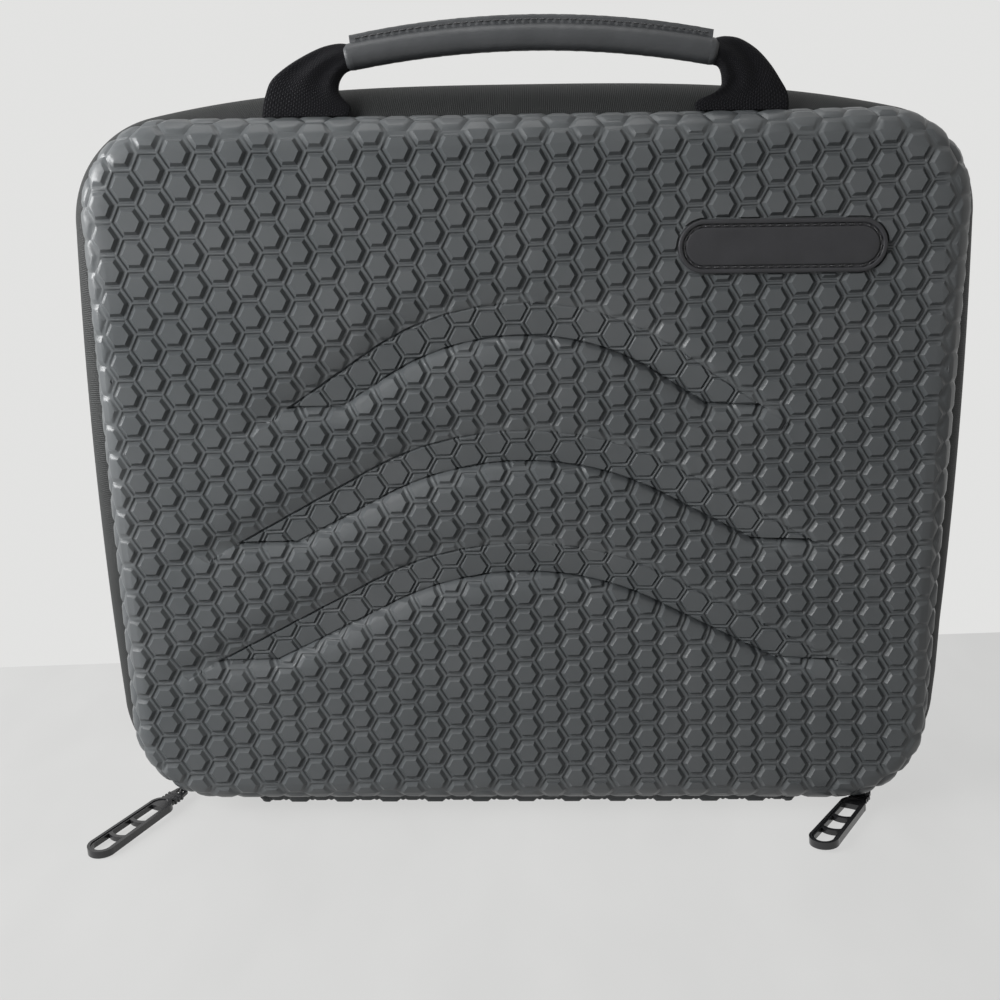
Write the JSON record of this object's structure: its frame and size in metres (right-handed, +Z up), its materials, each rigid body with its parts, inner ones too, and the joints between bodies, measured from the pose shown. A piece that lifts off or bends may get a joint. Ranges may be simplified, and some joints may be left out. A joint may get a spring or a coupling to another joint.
{
  "type": "laptop hard case",
  "caption": "Upright moulded laptop case with honeycomb relief, arched steps, zip band, hinge strip and a wrapped carrying handle.",
  "frame": {"origin": "middle of the underside of the hinge strip, on the surface the case stands on", "axes": "+X across the width to the viewer's right, -Y the front face with the arched steps, +Z up to the handle"},
  "size_m": [0.3706, 0.0906, 0.3325],
  "materials": {
    "outer_skin": "matt coated fabric moulded over foam",
    "eva_foam": "matt foam",
    "lining": "brushed knit",
    "webbing": "woven nylon",
    "zip_band": "finely ribbed coated tape",
    "zip_coil": "nylon coil",
    "slider_metal": "satin black enamel",
    "pull_plastic": "moulded, half gloss",
    "badge_rubber": "satin moulded rubber",
    "grip_wrap": "smooth coated leather, sewn",
    "grip_filler": "foam cord",
    "mesh": "knitted net"
  },
  "bodies": {
    "rear_half": {"rear_shell": "eva_foam", "rear_skin": "outer_skin", "rear_lining": "lining", "rear_binding": "webbing", "rear_zip_tape": "zip_band", "rear_zip_coil": "zip_coil", "rear_zip_ends": "zip_band", "rear_hinge_flange": "outer_skin", "rear_zip_stops": "slider_metal", "corner_straps": "webbing"},
    "spine": {"hinge_strip": "outer_skin", "hinge_strip_lining": "lining"},
    "front_half": {"front_shell": "eva_foam", "front_skin": "outer_skin", "front_lining": "lining", "front_binding": "webbing", "front_zip_tape": "zip_band", "front_zip_coil": "zip_coil", "front_hinge_flange": "outer_skin", "front_zip_stops": "slider_metal", "badge": "badge_rubber", "lid_pocket": "mesh", "lid_pocket_edge": "webbing", "handle_tabs": "webbing"},
    "handle": {"handle_grip": "grip_wrap", "handle_core": "grip_filler", "handle_webbing_left": "webbing", "handle_webbing_right": "webbing"},
    "slider_left": {"left_slider": "slider_metal"},
    "slider_right": {"right_slider": "slider_metal"},
    "pull_left": {"left_link": "slider_metal", "left_pull": "pull_plastic"},
    "pull_right": {"right_link": "slider_metal", "right_pull": "pull_plastic"}
  },
  "joints": [
    {"name": "spine_fold", "type": "hinge", "parent": "rear_half", "child": "spine", "pos_m": [0, 0.014, 0.0011], "axis": [1, 0, 0], "range_deg": [0, 90], "deforming": ["rear_zip_ends"]},
    {"name": "lid_fold", "type": "hinge", "parent": "spine", "child": "front_half", "pos_m": [0, -0.014, 0.0011], "axis": [1, 0, 0], "range_deg": [0, 90]},
    {"name": "handle_fold", "type": "hinge", "parent": "front_half", "child": "handle", "pos_m": [0, -0.0163, 0.3], "axis": [1, 0, 0], "range_deg": [-40, 82]},
    {"name": "slider_left_travel", "type": "hinge", "parent": "front_half", "child": "slider_left", "pos_m": [-0.1383, 0, 0.0492], "axis": [0, 1, 0], "range_deg": [-15, 62]},
    {"name": "slider_right_travel", "type": "hinge", "parent": "front_half", "child": "slider_right", "pos_m": [0.1383, 0, 0.0492], "axis": [0, 1, 0], "range_deg": [-70, 8]},
    {"name": "pull_left_swing", "type": "hinge", "parent": "slider_left", "child": "pull_left", "pos_m": [-0.15805, 0, 0.00485], "axis": [0.9135, 0, -0.4067], "range_deg": [0, 150]},
    {"name": "pull_right_swing", "type": "hinge", "parent": "slider_right", "child": "pull_right", "pos_m": [0.15249, 0, 0.00277], "axis": [0.9563, 0, 0.2924], "range_deg": [0, 150]}
  ],
  "couplings": [
    {"joint": "lid_fold", "follows": "spine_fold", "ratio": 1}
  ]
}
